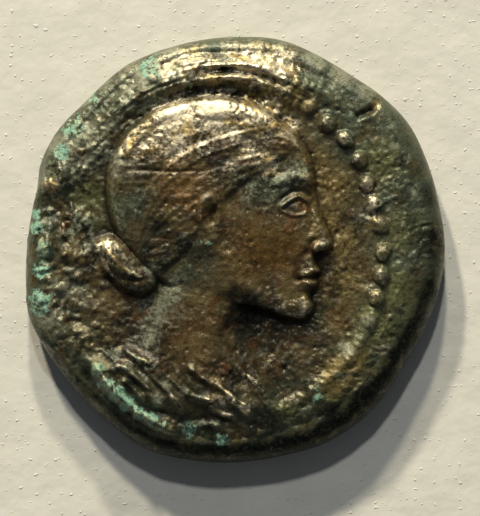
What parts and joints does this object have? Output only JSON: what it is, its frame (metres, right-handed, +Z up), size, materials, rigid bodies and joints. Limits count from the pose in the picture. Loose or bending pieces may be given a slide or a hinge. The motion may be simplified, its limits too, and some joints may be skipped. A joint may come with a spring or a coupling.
{
  "type": "ancient bronze coin",
  "caption": "Thick struck bronze coin with a raised portrait head in profile, a beaded border and a rounded, worn edge; it lies flat.",
  "frame": {"origin": "centre of the coin's box, at the plane that it lies on", "axes": "+Z up, through the coin's thickness, out of the portrait side; +Y towards the top of the portrait; +X to the right of the portrait"},
  "size_m": [0.027, 0.0274, 0.0048],
  "materials": {
    "bronze": "dark brown patinated bronze, semi-gloss, with golden worn high points and patches of green verdigris"
  },
  "bodies": {
    "root": {"coin": "bronze"}
  },
  "joints": []
}
